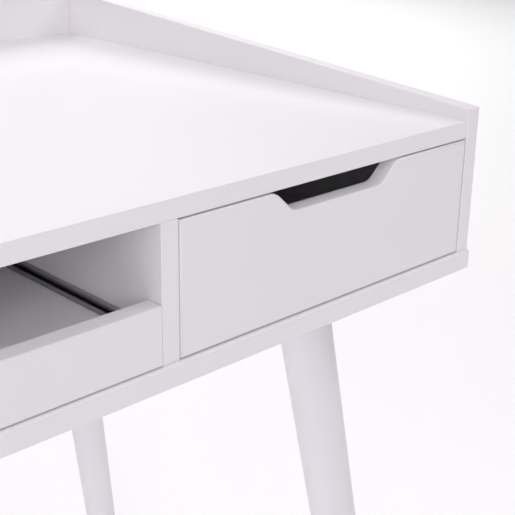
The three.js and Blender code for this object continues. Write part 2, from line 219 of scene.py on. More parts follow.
# Melamine-faced fibreboard, pressed: an even white whose faint orange peel softens reflections.
PRESSED_FOIL = Surface(
    "white_melamine_foil_pressed", "F3F1F4", "F1EFF2", 0.42, 0.04, 0.16, 1.4 * MM, 0.006 * MM
)
# The same board with a tougher, slightly smoother face for writing on.
WRITING_FOIL = Surface(
    "white_writing_foil_pressed", "F3F2F4", "F1F0F2", 0.38, 0.05, 0.22, 1.1 * MM, 0.004 * MM
)
# Membrane-wrapped fronts: the foil runs over the rounded edges with no seam.
WRAPPED_FOIL = Surface(
    "white_foil_membrane_wrapped", "F2F0F3", "F0EEF1", 0.40, 0.04, 0.14, 1.8 * MM, 0.008 * MM
)
# Paper foil on drawer boards: duller and a little greyer, with paper fibre in it.
PAPER_FOIL = Surface(
    "white_paper_foil_on_board", "E2E0E4", "DDDBDF", 0.58, 0.05, 0.05, 0.8 * MM, 0.010 * MM
)
# Coated hardboard: the smooth side of pressed fibre, with a mottled face.
COATED_HARDBOARD = Surface(
    "white_coated_hardboard", "D8D6D8", "D0CED0", 0.62, 0.06, 0.012, 1.2 * MM, 0.020 * MM
)
# Sprayed lacquer on turned wood: the wood's long grain just telegraphs through the white.
TURNED_LACQUER = Surface(
    "white_lacquer_on_turned_wood", "EEECF0", "EBE9ED", 0.36, 0.05, 0.09, 2.2 * MM, 0.012 * MM, (1, 1, 0.06)
)
# Powder coat on pressed steel: black with a pebbled skin.
POWDER_COAT = Surface(
    "black_powder_coat_on_steel", "1B1B1D", "161618", 0.50, 0.06, 0.03, 0.7 * MM, 0.030 * MM
)
# Zinc plate on cold-rolled strip: a dull grey metal drawn along its rolling direction, which is Y.
ROLLED_ZINC = Surface(
    "zinc_plate_on_rolled_steel", "B4B5B8", "A6A7AB", 0.40, 0.06, 0.02, 0.6 * MM, 0.010 * MM,
    stretch=(1, 0.04, 1), metallic=1.0,
)
# Bright zinc on formed screws and bolts.
BRIGHT_ZINC = Surface(
    "bright_zinc_on_formed_steel", "C4C4C0", "B4B4B2", 0.26, 0.06, 0.006, 0.5 * MM, 0.006 * MM, metallic=1.0
)
# Ground bearing steel: the balls are nearly mirrors.
GROUND_STEEL = Surface(
    "ground_bearing_steel", "D2D3D6", "C9CACD", 0.12, 0.03, 0.004, 0.3 * MM, 0.001 * MM, metallic=1.0
)
# Injection-moulded nylon: black, with the mould's fine spark texture.
MOULDED_NYLON = Surface(
    "black_nylon_moulded", "1A1A1C", "151517", 0.48, 0.05, 0.01, 0.4 * MM, 0.012 * MM, ior=1.53
)
# Moulded polyethylene: waxy, and scuffed grey where it meets the floor.
MOULDED_POLYETHYLENE = Surface(
    "natural_polyethylene_moulded", "D3D3D6", "C2C2C4", 0.50, 0.08, 0.008, 0.9 * MM, 0.015 * MM, ior=1.51
)

FINISH_OF_SLOT = {
    "board": PRESSED_FOIL,
    "worktop_board": WRITING_FOIL,
    "front": WRAPPED_FOIL,
    "box_board": PAPER_FOIL,
    "hardboard": COATED_HARDBOARD,
    "leg": TURNED_LACQUER,
    "leg_plate": POWDER_COAT,
    "fixings": BRIGHT_ZINC,
    "slide_zinc": ROLLED_ZINC,
    "slide_cage": MOULDED_NYLON,
    "foot_glide": MOULDED_POLYETHYLENE,
}


class Workshop:
    """Makes each finish's material once and hands it out."""

    def __init__(self) -> None:
        """Starts with no material made."""
        self._made: dict[Surface, bpy.types.Material] = {}

    def material(self, finish: Surface) -> bpy.types.Material:
        """Returns the material of a finish."""
        if finish not in self._made:
            self._made[finish] = finish.material()
        return self._made[finish]

    def for_slot(self, slot: str) -> bpy.types.Material:
        """Returns the material of a slot of the record."""
        return self.material(FINISH_OF_SLOT[slot])


WORKSHOP = Workshop()


# ---------------------------------------------------------------- meshes


class Axis(Enum):
    """The direction in which an outline is run out, with the two axes that the outline is drawn in."""

    X = (0, 1, 2)
    Y = (1, 0, 2)
    Z = (2, 0, 1)

    def place(self, across: Point, along: float) -> Vector:
        """Returns the point that lies at across in the outline and at along in the run."""
        point = Vector((0.0, 0.0, 0.0))
        point[self.value[0]] = along
        point[self.value[1]] = across[0]
        point[self.value[2]] = across[1]
        return point


EdgeTest = Callable[[bmesh.types.BMEdge], bool]


def soften(shape: Shape, wanted: EdgeTest, radius: float, steps: int) -> None:
    """Rounds the edges that a test picks.

    Args:
        shape: The mesh, which is changed.
        wanted: Says whether an edge is to be rounded.
        radius: The rounding's radius.
        steps: How many strips make it up.
    """
    edges = [edge for edge in shape.edges if wanted(edge)]
    bmesh.ops.bevel(
        shape, geom=edges, offset=radius, offset_type="OFFSET", segments=steps, profile=0.5, affect="EDGES"
    )


def is_corner(edge: bmesh.types.BMEdge) -> bool:
    """Says whether an edge still turns sharply."""
    return len(edge.link_faces) == 2 and edge.calc_face_angle() > SHARP_ANGLE


def lies_at(axis: Axis, level: float) -> EdgeTest:
    """Returns a test for edges that lie wholly at one level along an axis."""
    place = axis.value[0]
    return lambda edge: all(abs(vertex.co[place] - level) < LEVEL_SLACK for vertex in edge.verts)


def run_out(outline: Sequence[Point], axis: Axis, low: float, high: float) -> Shape:
    """Runs a closed outline from low to high along an axis, as one closed body."""
    shape = bmesh.new()
    near = [shape.verts.new(axis.place(point, low)) for point in outline]
    far = [shape.verts.new(axis.place(point, high)) for point in outline]
    shape.faces.new(near)
    shape.faces.new(far)
    for i, vertex in enumerate(near):
        after = (i + 1) % len(near)
        shape.faces.new((vertex, near[after], far[after], far[i]))
    bmesh.ops.recalc_face_normals(shape, faces=shape.faces)
    return shape


def turned(profile: Sequence[Point], centre: Vector, sides: int) -> Shape:
    """Turns a profile of (radius, height) about an upright line.

    Args:
        profile: From the axis at one end to the axis at the other.
        centre: A point on the line; heights are counted from it.
        sides: How many flats a full turn has.

    Returns:
        One closed body.
    """
    shape = bmesh.new()
    vertices = [shape.verts.new((radius, 0, height)) for radius, height in profile]
    edges = [shape.edges.new(pair) for pair in zip(vertices, vertices[1:], strict=False)]
    bmesh.ops.spin(
        shape, geom=vertices + edges, axis=(0, 0, 1), cent=(0, 0, 0), angle=math.tau, steps=sides
    )
    bmesh.ops.remove_doubles(shape, verts=shape.verts, dist=WELD)
    bmesh.ops.translate(shape, verts=shape.verts, vec=centre)
    bmesh.ops.recalc_face_normals(shape, faces=shape.faces)
    return shape


def rounded(corners: Sequence[Triple], steps: int) -> list[Point]:
    """Draws an outline whose corners are true arcs.

    Args:
        corners: Each corner's two coordinates and its radius; radius 0 keeps it sharp.
        steps: How many chords make up each arc.

    Returns:
        The outline's points.
    """
    points: list[Point] = []
    for i, (u, v, radius) in enumerate(corners):
        corner = Vector((u, v))
        if radius == 0:
            points.append((u, v))
            continue
        before = (Vector(corners[i - 1][:2]) - corner).normalized()
        after = (Vector(corners[(i + 1) % len(corners)][:2]) - corner).normalized()
        half = before.angle(after) / 2
        middle = corner + (before + after).normalized() * radius / math.sin(half)
        start = corner + before * radius / math.tan(half) - middle
        end = corner + after * radius / math.tan(half) - middle
        sweep = start.angle_signed(end)
        for step in range(steps + 1):
            spoke = start.copy()
            spoke.rotate(Matrix.Rotation(-sweep * step / steps, 2))
            points.append(tuple(middle + spoke))
    return points


def bent_strip(path: Sequence[Point], thickness: float, bend: float, steps: int = 4) -> list[Point]:
    """Draws the section of sheet metal bent along a path.

    Args:
        path: The middle line's corners, open at both ends.
        thickness: The sheet's thickness.
        bend: The middle line's radius at each bend.
        steps: How many chords make up each bend.

    Returns:
        The section's closed outline.
    """
    corners = [(*path[0], 0.0), *((*point, bend) for point in path[1:-1]), (*path[-1], 0.0)]
    line = [Vector(point) for point in rounded(corners, steps)]
    near, far = [], []
    for i, point in enumerate(line):
        before = (point - line[i - 1]).normalized() if i > 0 else None
        after = (line[i + 1] - point).normalized() if i + 1 < len(line) else None
        along = ((before or after) + (after or before)).normalized()
        across = Vector((-along.y, along.x)) * thickness / 2
        near.append(tuple(point + across))
        far.append(tuple(point - across))
    return near + far[::-1]


def shade(shape: Shape) -> None:
    """Shades the faces smoothly and keeps the corners crisp."""
    for face in shape.faces:
        face.smooth = True
    for edge in shape.edges:
        edge.smooth = not is_corner(edge)


def new_object(name: str, data: bpy.types.ID) -> bpy.types.Object:
    """Adds an object to the scene."""
    made = bpy.data.objects.new(name, data)
    bpy.context.scene.collection.objects.link(made)
    return made


def finish_mesh(name: str, shape: Shape) -> bpy.types.Object:
    """Turns a mesh in the making to an object with even normals.

    Args:
        name: The object's name.
        shape: The mesh, which is used up.

    Returns:
        The object, at the origin.
    """
    shade(shape)
    mesh = bpy.data.meshes.new(name)
    shape.to_mesh(mesh)
    shape.free()
    made = new_object(name, mesh)
    weighted = made.modifiers.new("even_normals", "WEIGHTED_NORMAL")
    weighted.keep_sharp = True
    weighted.weight = 100
    return settle(made)


def settle(made: bpy.types.Object) -> bpy.types.Object:
    """Replaces an object's mesh by what its modifiers make of it, and removes the modifiers."""
    graph = bpy.context.evaluated_depsgraph_get()
    final = bpy.data.meshes.new_from_object(
        made.evaluated_get(graph), preserve_all_data_layers=True, depsgraph=graph
    )
    made.modifiers.clear()
    made.data = final
    return made


def body_of(node: str) -> str:
    """The moving body that a CAD node belongs to."""
    return frame["nodes"][node]["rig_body"]


def dress(made: bpy.types.Object, *nodes: str) -> bpy.types.Object:
    """Makes a piece stand for CAD nodes of one body: its finish, its slot and what it rides on."""
    slot = SLOT_OF[nodes[0]]
    if not made.data.materials:
        made.data.materials.append(None)
    for i in range(len(made.data.materials)):
        made.data.materials[i] = WORKSHOP.for_slot(slot)
    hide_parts(*nodes)
    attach(made, body_of(nodes[0]))
    LOG.info("%s stands for %s", made.name, ", ".join(nodes))
    return made


def add_trim(made: bpy.types.Object, body: str) -> bpy.types.Object:
    """Makes a small piece that stands for no CAD node ride on a body."""
    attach(made, body)
    LOG.info("%s rides on %s", made.name, body)
    return made


# ---------------------------------------------------------------- geometry node trees


class Repeated:
    """A geometry tree that sets one small shape at every vertex of a host mesh, facing its axis."""

    AXIS_NAME = "facing"

    def __init__(self, name: str, inputs: dict[str, tuple[str, object]]) -> None:
        """Starts a tree with named inputs.

        Args:
            name: The tree's name.
            inputs: For each input its socket type and default value.
        """
        self.tree = bpy.data.node_groups.new(name, "GeometryNodeTree")
        face = self.tree.interface
        face.new_socket("Geometry", in_out="OUTPUT", socket_type="NodeSocketGeometry")
        face.new_socket("Host", in_out="INPUT", socket_type="NodeSocketGeometry")
        self.sockets: dict[str, bpy.types.NodeTreeInterfaceSocket] = {}
        for label, (kind, value) in inputs.items():
            self.sockets[label] = face.new_socket(label, in_out="INPUT", socket_type=kind)
            self.sockets[label].default_value = value
        self.sockets["Finish"] = face.new_socket("Finish", in_out="INPUT", socket_type="NodeSocketMaterial")
        self.given = add_node(self.tree, "NodeGroupInput").outputs

    def add(
        self,
        kind: str,
        inputs: dict[str | int, object] | None = None,
        settings: dict[str, object] | None = None,
        output: str | int = 0,
    ) -> Socket:
        """Adds a node to the tree.

        Args:
            kind: The node's type name.
            inputs: For each input a value or the socket that feeds it.
            settings: The node's own properties.
            output: Which of its outputs is wanted.

        Returns:
            That output.
        """
        return add_node(self.tree, kind, settings, inputs).outputs[output]

    def number(self, operation: str, first: object, second: object) -> Socket:
        """One step of arithmetic."""
        return self.add("ShaderNodeMath", {0: first, 1: second}, {"operation": operation})

    def vector(self, operation: str, first: object, second: object) -> Socket:
        """One step of arithmetic on vectors."""
        return self.add("ShaderNodeVectorMath", {0: first, 1: second}, {"operation": operation})

    def scaled(self, vector: Socket, factor: Socket) -> Socket:
        """A vector made longer or shorter."""
        return self.add("ShaderNodeVectorMath", {"Vector": vector, "Scale": factor}, {"operation": "SCALE"})

    def close(self, shape: Socket) -> None:
        """Ends the tree: the shape at every host vertex, made real and given its finish."""
        facing = self.add(
            "GeometryNodeInputNamedAttribute",
            {"Name": self.AXIS_NAME},
            {"data_type": "FLOAT_VECTOR"},
            "Attribute",
        )
        turn = self.add("FunctionNodeAlignRotationToVector", {"Vector": facing}, {"axis": "Z"})
        copies = {"Points": self.given["Host"], "Instance": shape, "Rotation": turn}
        self.end(self.add("GeometryNodeInstanceOnPoints", copies))

    def end(self, geometry: Socket) -> None:
        """Makes instances real, sets the finish and joins the output."""
        real = self.add("GeometryNodeRealizeInstances", {"Geometry": geometry})
        dressed = self.add("GeometryNodeSetMaterial", {"Geometry": real, "Material": self.given["Finish"]})
        add_node(self.tree, "NodeGroupOutput", inputs={"Geometry": dressed})

    def grow(
        self,
        name: str,
        spots: Spots,
        finish: Surface,
        values: dict[str, object] | None = None,
    ) -> bpy.types.Object:
        """Runs the tree over a list of spots.

        Args:
            name: The object's name.
            spots: For each copy its place and the direction that it faces.
            finish: The copies' finish.
            values: Values for the tree's named inputs.

        Returns:
            One object with a plain mesh.
        """
        host = bpy.data.meshes.new(name)
        host.from_pydata([tuple(place) for place, _ in spots], [], [])
        facing = host.attributes.new(self.AXIS_NAME, "FLOAT_VECTOR", "POINT")
        for item, (_, direction) in zip(facing.data, spots, strict=True):
            item.vector = direction
        made = new_object(name, host)
        modifier = made.modifiers.new(self.tree.name, "NODES")
        modifier.node_group = self.tree
        for label, value in {**(values or {}), "Finish": WORKSHOP.material(finish)}.items():
            modifier[self.sockets[label].identifier] = value
        settle(made)
        shape = bmesh.new()
        shape.from_mesh(made.data)
        bmesh.ops.recalc_face_normals(shape, faces=shape.faces)
        shade(shape)
        shape.to_mesh(made.data)
        shape.free()
        return made


class PanHeads(Repeated):
    """Pan screw heads with a cross recess, each standing on the surface that its axis points away from."""

    def __init__(self) -> None:
        """Builds the tree."""
        super().__init__(
            "pan_screw_heads",
            {
                "Head Radius": ("NodeSocketFloat", 3.0 * MM),
                "Head Height": ("NodeSocketFloat", 1.4 * MM),
                "Recess Reach": ("NodeSocketFloat", 3.4 * MM),
                "Recess Width": ("NodeSocketFloat", 0.8 * MM),
            },
        )
        given = self.given
        sphere = {"Segments": 20, "Rings": 10, "Radius": given["Head Radius"]}
        ball = self.add("GeometryNodeMeshUVSphere", sphere, output="Mesh")
        position = self.add("GeometryNodeInputPosition")
        place = add_node(self.tree, "ShaderNodeSeparateXYZ", inputs={0: position}).outputs
        share = self.number("DIVIDE", given["Head Height"], given["Head Radius"])
        height = self.number("MULTIPLY", self.number("MAXIMUM", place["Z"], 0.0), share)
        spot = self.add("ShaderNodeCombineXYZ", {"X": place["X"], "Y": place["Y"], "Z": height})
        head = self.add("GeometryNodeSetPosition", {"Geometry": ball, "Position": spot})
        bars = (self._bar("Recess Reach", "Recess Width"), self._bar("Recess Width", "Recess Reach"))
        for bar in bars:
            head = self.add(
                "GeometryNodeMeshBoolean",
                {"Mesh 1": head, "Mesh 2": bar},
                {"operation": "DIFFERENCE", "solver": "EXACT"},
                "Mesh",
            )
        self.close(head)

    def _bar(self, length: str, width: str) -> Socket:
        """One arm of the cross recess, sunk into the head's top half."""
        given = self.given
        sides = {"X": given[length], "Y": given[width], "Z": given["Head Height"]}
        lift = self.add("ShaderNodeCombineXYZ", {"Z": given["Head Height"]})
        size = self.add("ShaderNodeCombineXYZ", sides)
        cube = self.add("GeometryNodeMeshCube", {"Size": size}, output="Mesh")
        return self.add("GeometryNodeTransform", {"Geometry": cube, "Translation": lift})


class BearingBalls(Repeated):
    """Bearing balls, one at every host vertex."""

    def __init__(self) -> None:
        """Builds the tree."""
        super().__init__("bearing_balls", {"Ball Radius": ("NodeSocketFloat", 1.5 * MM)})
        sphere = {"Segments": 10, "Rings": 7, "Radius": self.given["Ball Radius"]}
        self.close(self.add("GeometryNodeMeshUVSphere", sphere, output="Mesh"))


class TaperedTurning(Repeated):
    """A tapered round leg between two points: its top edge is rounded and its foot is cut level."""

    def __init__(self) -> None:
        """Builds the tree."""
        super().__init__(
            "tapered_turning",
            {
                "Head": ("NodeSocketVector", (0.0, 0.0, 0.6)),
                "Foot": ("NodeSocketVector", (0.0, 0.0, 0.0)),
                "Head Radius": ("NodeSocketFloat", 25 * MM),
                "Taper": ("NodeSocketFloat", 0.0117),
                "Edge Radius": ("NodeSocketFloat", 2.5 * MM),
                "Foot Level": ("NodeSocketFloat", 4 * MM),
                "Rings": ("NodeSocketInt", 56),
                "Sides": ("NodeSocketInt", 72),
            },
        )
        given = self.given
        axis = self.vector("SUBTRACT", given["Foot"], given["Head"])
        # Rings crowd towards the head, where the edge is rounded: their places go with the square.
        last = self.number("SUBTRACT", given["Rings"], 1.0)
        share = self.number("DIVIDE", self.add("GeometryNodeInputIndex"), last)
        reach = self.scaled(axis, self.number("MULTIPLY", share, share))
        spot = self.vector("ADD", given["Head"], reach)
        line = self.add("GeometryNodeMeshLine", {"Count": given["Rings"]}, output="Mesh")
        placed = self.add("GeometryNodeSetPosition", {"Geometry": line, "Position": spot})
        curve = self.add("GeometryNodeMeshToCurve", {"Mesh": placed}, output="Curve")
        ring = {"Resolution": given["Sides"], "Radius": 1.0}
        circle = self.add("GeometryNodeCurvePrimitiveCircle", ring, output="Curve")
        tube = {"Curve": curve, "Profile Curve": circle, "Scale": self._radius(), "Fill Caps": True}
        body = self.add("GeometryNodeCurveToMesh", tube, output="Mesh")
        self.end(self._level_foot(body, axis))

    def _radius(self) -> Socket:
        """The leg's radius along its length, less what the head's rounding takes off."""
        along = self.add("GeometryNodeSplineParameter", output="Length")
        edge = self.given["Edge Radius"]
        tapered = self.number(
            "SUBTRACT", self.given["Head Radius"], self.number("MULTIPLY", along, self.given["Taper"])
        )
        inside = self.number("MAXIMUM", self.number("SUBTRACT", edge, along), 0.0)
        squares = self.number(
            "SUBTRACT", self.number("MULTIPLY", edge, edge), self.number("MULTIPLY", inside, inside)
        )
        rounding = self.number("SUBTRACT", edge, self.number("POWER", squares, 0.5))
        return self.number("SUBTRACT", tapered, rounding)

    def _level_foot(self, body: Socket, axis: Socket) -> Socket:
        """Slides what is below the foot's level back up along the leg."""
        position = self.add("GeometryNodeInputPosition")
        height = self.add("ShaderNodeSeparateXYZ", {0: position}, output="Z")
        below = self.number("MAXIMUM", self.number("SUBTRACT", self.given["Foot Level"], height), 0.0)
        fall = self.add("ShaderNodeSeparateXYZ", {0: axis}, output="Z")
        shift = self.scaled(axis, self.number("DIVIDE", below, fall))
        return self.add("GeometryNodeSetPosition", {"Geometry": body, "Offset": shift})


# ---------------------------------------------------------------- boards


@dataclass(frozen=True)
class Board:
    """A panel sawn from board.

    Attributes:
        node: The CAD node that it stands for.
        arris: The radius that its edges are eased to.
    """

    node: str
    arris: float = 0.5 * MM

    def shape(self) -> Shape:
        """The board's body, with its edges eased."""
        low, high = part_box(self.node)
        shape = run_out(
            [(low.x, low.z), (high.x, low.z), (high.x, high.z), (low.x, high.z)], Axis.Y, low.y, high.y
        )
        soften(shape, is_corner, self.arris, EASE_STEPS)
        return shape

    def build(self) -> bpy.types.Object:
        """Makes the board and dresses it."""
        return dress(finish_mesh(f"{self.node}_board", self.shape()), self.node)


@dataclass(frozen=True)
class SlopedBoard(Board):
    """A side panel, whose top edge climbs in a straight line to the back.

    Attributes:
        front_top: The height of its front edge's top.
    """

    front_top: float = 0.7605

    def shape(self) -> Shape:
        """The panel's body, with its edges eased."""
        low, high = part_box(self.node)
        outline = [(low.y, low.z), (high.y, low.z), (high.y, high.z), (low.y, self.front_top)]
        shape = run_out(outline, Axis.X, low.x, high.x)
        soften(shape, is_corner, self.arris, EASE_STEPS)
        return shape


@dataclass(frozen=True)
class NosedBoard(Board):
    """A board whose front edge is rounded more than the others.

    Attributes:
        nose: The radius of the two long edges at the front.
    """

    nose: float = 2.0 * MM

    def shape(self) -> Shape:
        """The board's body, with its nose and its eased edges."""
        low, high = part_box(self.node)
        corners = [
            (low.y, low.z, self.nose),
            (high.y, low.z, 0),
            (high.y, high.z, 0),
            (low.y, high.z, self.nose),
        ]
        outline = rounded(corners, NOSE_STEPS)
        shape = run_out(outline, Axis.X, low.x, high.x)
        soften(shape, is_corner, self.arris, 2)
        return shape


@dataclass(frozen=True)
class WrappedFront(Board):
    """A drawer front with a finger cut-out; its face runs over a rounded edge on all sides.

    Attributes:
        edge: The radius of that edge.
        cutout_depth: How deep the cut-out is.
        floor_half: Half the length of the cut-out's floor.
        mouth_half: Half the width of its mouth.
        fillet: The radius of its four corners.
    """

    edge: float = 2.0 * MM
    cutout_depth: float = 17.5 * MM
    floor_half: float = 49.5 * MM
    mouth_half: float = 68.5 * MM
    fillet: float = 14 * MM

    def outline(self) -> list[Point]:
        """The front's outline in X and Z."""
        low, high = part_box(self.node)
        middle = (low.x + high.x) / 2
        floor = high.z - self.cutout_depth
        corners = [
            (low.x, low.z, 0.0),
            (high.x, low.z, 0.0),
            (high.x, high.z, 0.0),
            (middle + self.mouth_half, high.z, self.fillet),
            (middle + self.floor_half, floor, self.fillet),
            (middle - self.floor_half, floor, self.fillet),
            (middle - self.mouth_half, high.z, self.fillet),
            (low.x, high.z, 0.0),
        ]
        return rounded(corners, CORNER_STEPS)

    def shape(self) -> Shape:
        """The front's body, with its rounded face edge and eased back."""
        low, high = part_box(self.node)
        shape = run_out(self.outline(), Axis.Y, low.y, high.y)
        soften(shape, lies_at(Axis.Y, low.y), self.edge, NOSE_STEPS)
        soften(shape, lies_at(Axis.Y, high.y), self.arris, EASE_STEPS)
        return shape


# ---------------------------------------------------------------- case and legs


@dataclass(frozen=True)
class Case:
    """The fixed panels of the desk.

    Attributes:
        arris: The easing of the panels' edges.
        nose: The rounding of the bottom panel's front.
        gallery_front: How far the side panels stand above the worktop at the front.
        hole_radius: The radius of the bottom panel's screw holes at their mouth.
        hole_depth: How deep those holes are modelled.
    """

    arris: float = 0.5 * MM
    nose: float = 2.5 * MM
    gallery_front: float = 10.5 * MM
    hole_radius: float = 5.4 * MM
    hole_depth: float = 6 * MM

    def build(self) -> None:
        """Makes the panels."""
        for node in ("worktop", "back_panel", "divider_left", "divider_right"):
            Board(node, self.arris).build()
        worktop_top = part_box("worktop")[1].z
        for side in SIDES:
            SlopedBoard(f"side_panel_{side}", self.arris, worktop_top + self.gallery_front).build()
        self._bottom_panel()

    def _bottom_panel(self) -> None:
        """Makes the bottom panel, drilled for the screws whose heads are sunk in its underside."""
        panel = finish_mesh("bottom_panel_board", NosedBoard("bottom_panel", self.arris, self.nose).shape())
        cutters = bmesh.new()
        screws = [node for node in frame["nodes"] if node.startswith("side_screw_")]
        for node in sorted(screws):
            low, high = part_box(node)
            centre = Vector(((low.x + high.x) / 2, (low.y + high.y) / 2, low.z))
            profile = [
                (0, -self.hole_depth),
                (self.hole_radius, -self.hole_depth),
                (self.hole_radius, self.hole_depth),
                (0, self.hole_depth),
            ]
            drill = turned(profile, centre, 32)
            plug = bpy.data.meshes.new("drill")
            drill.to_mesh(plug)
            drill.free()
            cutters.from_mesh(plug)
            bpy.data.meshes.remove(plug)
        tool = finish_mesh("drills", cutters)
        drilled = panel.modifiers.new("drilled", "BOOLEAN")
        drilled.operation = "DIFFERENCE"
        drilled.solver = "EXACT"
        drilled.object = tool
        settle(panel)
        bpy.data.objects.remove(tool)
        dress(panel, "bottom_panel")


@dataclass(frozen=True)
class Leg:
    """One splayed leg with its plate, bolt and glide.

    Attributes:
        place: Which end and side it stands at, as in front_left.
        head_radius: The radius that its taper would have level with the bottom panel.
        taper: Radius lost for each unit of length.
        head_drop: Distance along the leg from the bottom panel to its top face.
        edge: The rounding of its top edge.
        overrun: How far it is made past the floor before its foot is cut level.
        foot_gap: The gap between the leg's foot and the glide.
    """

    place: str
    head_radius: float = 25.5 * MM
    taper: float = 0.0117
    head_drop: float = 12 * MM
    edge: float = 2.5 * MM
    overrun: float = 6 * MM
    foot_gap: float = 0.3 * MM

    def build(self, turning: TaperedTurning) -> None:
        """Makes the leg and its glide."""
        plate_low, plate_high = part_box(f"leg_plate_{self.place}")
        glide_low, glide_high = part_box(f"foot_glide_{self.place}")
        top = Vector(((plate_low.x + plate_high.x) / 2, (plate_low.y + plate_high.y) / 2, plate_high.z))
        foot = Vector(((glide_low.x + glide_high.x) / 2, (glide_low.y + glide_high.y) / 2, glide_low.z))
        down = (foot - top).normalized()
        leg = turning.grow(
            f"leg_{self.place}_turning",
            [(top, down)],
            TURNED_LACQUER,
            {
                "Head": tuple(top + down * self.head_drop),
                "Foot": tuple(foot + down * self.overrun),
                "Head Radius": self.head_radius - self.taper * self.head_drop,
                "Taper": self.taper,
                "Edge Radius": self.edge,
                "Foot Level": glide_high.z + self.foot_gap,
            },
        )
        dress(leg, f"leg_{self.place}")
        self._glide(foot, (glide_high.x - glide_low.x) / 2, glide_high.z)

    def _glide(self, foot: Vector, radius: float, height: float) -> None:
        """Makes the round glide under the leg, with a rounded tread and a dished middle."""
        tread, dish, dish_share, rim, steps = 1.4 * MM, 0.6 * MM, 0.55, 0.3 * MM, 5
        profile: list[Point] = [(0, dish), (radius * dish_share, dish), (radius - 2 * tread, 0)]
        for step in range(steps + 1):
            angle = math.pi / 2 * step / steps
            profile.append((radius - tread + tread * math.sin(angle), tread - tread * math.cos(angle)))
        profile += [(radius, height - rim), (radius - rim, height), (0, height)]
        glide = finish_mesh(f"foot_glide_{self.place}_moulding", turned(profile, foot, 48))
        dress(glide, f"foot_glide_{self.place}")


@dataclass(frozen=True)
class PlateScrews:
    """The four pan-head screws that hold each leg plate up.

    Attributes:
        inset: Distance of each screw from the plate's edges.
        plate_thickness: The plate's thickness.
        head_radius: The heads' radius.
        head_height: The heads' height.
    """

    inset: float = 10 * MM
    plate_thickness: float = 3 * MM
    head_radius: float = 4.0 * MM
    head_height: float = 2.2 * MM

    def build(self, heads: PanHeads) -> None:
        """Makes the heads of all the plates as one piece."""
        spots = []
        for end in ENDS:
            for side in SIDES:
                low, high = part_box(f"leg_plate_{end}_{side}")
                for x in (low.x + self.inset, high.x - self.inset):
                    for y in (low.y + self.inset, high.y - self.inset):
                        spots.append((Vector((x, y, high.z - self.plate_thickness)), Vector((0, 0, -1))))
        sizes = {
            "Head Radius": self.head_radius,
            "Head Height": self.head_height,
            "Recess Reach": self.head_radius * RECESS_REACH,
            "Recess Width": self.head_radius * RECESS_WIDTH,
        }
        add_trim(heads.grow("leg_plate_screws", spots, BRIGHT_ZINC, sizes), "case")


# ---------------------------------------------------------------- slides


